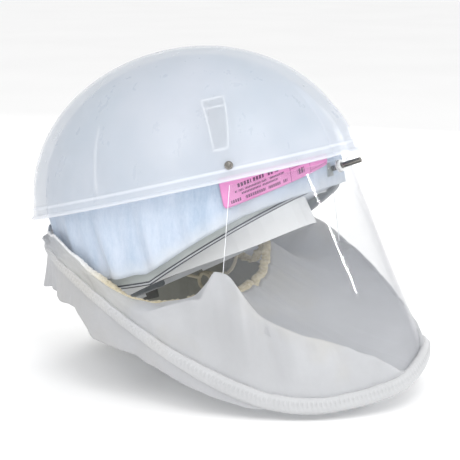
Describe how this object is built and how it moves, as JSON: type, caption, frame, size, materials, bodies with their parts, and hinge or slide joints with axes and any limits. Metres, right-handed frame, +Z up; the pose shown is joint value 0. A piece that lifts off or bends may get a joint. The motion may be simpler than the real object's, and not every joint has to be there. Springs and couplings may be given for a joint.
{
  "type": "powered air respirator",
  "caption": "Powered air respirator: helmet with fans under a filter and lift-off cap, ratchet head suspension, clear face lens and fabric cuff.",
  "frame": {"origin": "centre of the headband's ring, inside the helmet, as it sits on an upright head", "axes": "+Z up on an upright head, -Y to the front, where the lens is, and -X to the wearer's right"},
  "size_m": [0.25, 0.3583, 0.2586],
  "materials": {
    "cap_plastic": "milky translucent moulding, faint mould marks",
    "white_plastic": "white moulded strap plastic",
    "grey_plastic": "light grey moulded plastic",
    "dark_plastic": "dark moulded plastic",
    "lead_jacket": "beige soft cable jacket",
    "steel": "turned steel",
    "filter_media": "pale blue nonwoven",
    "label_film": "pink printed film",
    "clear_film": "clear sheet",
    "cuff_cloth": "off-white knit cloth",
    "elastic_cord": "cloth-covered elastic",
    "foam": "grey brushed foam",
    "circuit_board": "green circuit board"
  },
  "bodies": {
    "helmet": {"base_shell": "grey_plastic", "base_edge_trim": "dark_plastic", "filter_bonnet": "filter_media", "filter_hem": "elastic_cord", "filter_label": "label_film", "front_fan_housing": "dark_plastic", "front_fan_guard": "dark_plastic", "front_fan_motor": "steel", "rear_fan_housing": "dark_plastic", "rear_fan_guard": "dark_plastic", "rear_fan_motor": "steel", "control_board": "circuit_board", "control_cover": "dark_plastic", "status_light": "dark_plastic", "socket_plate": "grey_plastic", "power_socket": "dark_plastic", "socket_ring": "steel", "power_lead": "lead_jacket", "post_bracket": "grey_plastic", "front_post": "steel", "headband_front": "white_plastic", "sweatband": "foam", "nape_pad": "foam", "ratchet_housing": "white_plastic", "crown_strap_side": "white_plastic", "crown_strap_long": "white_plastic", "hanger_front_right": "white_plastic", "hanger_front_left": "white_plastic", "hanger_rear_right": "white_plastic", "hanger_rear_left": "white_plastic", "cuff_funnel_rear": "cuff_cloth", "cuff_ring_rear": "cuff_cloth", "cuff_skirt": "cuff_cloth", "neck_elastic_rear": "elastic_cord"},
    "cap": {"cap_shell": "cap_plastic", "cap_clip_right": "cap_plastic", "cap_clip_left": "cap_plastic", "cap_rivet_right": "steel", "cap_rivet_left": "steel"},
    "front_fan": {"front_impeller": "grey_plastic"},
    "rear_fan": {"rear_impeller": "grey_plastic"},
    "knob": {"ratchet_knob": "dark_plastic", "ratchet_pinion": "grey_plastic"},
    "band_right": {"band_rack_right": "white_plastic"},
    "band_left": {"band_rack_left": "white_plastic"},
    "lens_cuff": {"lens": "clear_film", "lens_grommet": "white_plastic", "cuff_ring_front": "cuff_cloth", "cuff_funnel_front": "cuff_cloth", "neck_elastic_front": "elastic_cord"}
  },
  "joints": [
    {"name": "cap_lift", "type": "slide", "parent": "helmet", "child": "cap", "axis": [0, 0.2521, 0.9677], "range_m": [0, 0.17]},
    {"name": "front_fan_spin", "type": "hinge", "parent": "helmet", "child": "front_fan", "pos_m": [0, -0.0035, 0.13732], "axis": [0, 0.2521, 0.9677], "continuous": true},
    {"name": "rear_fan_spin", "type": "hinge", "parent": "helmet", "child": "rear_fan", "pos_m": [0, 0.07005, 0.11816], "axis": [0, 0.2521, 0.9677], "continuous": true},
    {"name": "knob_turn", "type": "hinge", "parent": "helmet", "child": "knob", "pos_m": [0, 0.08592, -0.04588], "axis": [0, 0.8821, -0.471], "range_deg": [-60, 180]},
    {"name": "band_right_slide", "type": "hinge", "parent": "helmet", "child": "band_right", "pos_m": [0, 0.01676, -0.00895], "axis": [0, 0.471, 0.8821], "range_deg": [-14, 5]},
    {"name": "band_left_slide", "type": "hinge", "parent": "helmet", "child": "band_left", "pos_m": [0, 0.01676, -0.00895], "axis": [0, 0.471, 0.8821], "range_deg": [-5, 14]},
    {"name": "lens_slide", "type": "slide", "parent": "helmet", "child": "lens_cuff", "axis": [0, -0.9379, 0.3469], "range_m": [0, 0.014]}
  ],
  "couplings": [
    {"joint": "band_right_slide", "follows": "knob_turn", "ratio": -0.076531},
    {"joint": "band_left_slide", "follows": "knob_turn", "ratio": 0.076531}
  ]
}
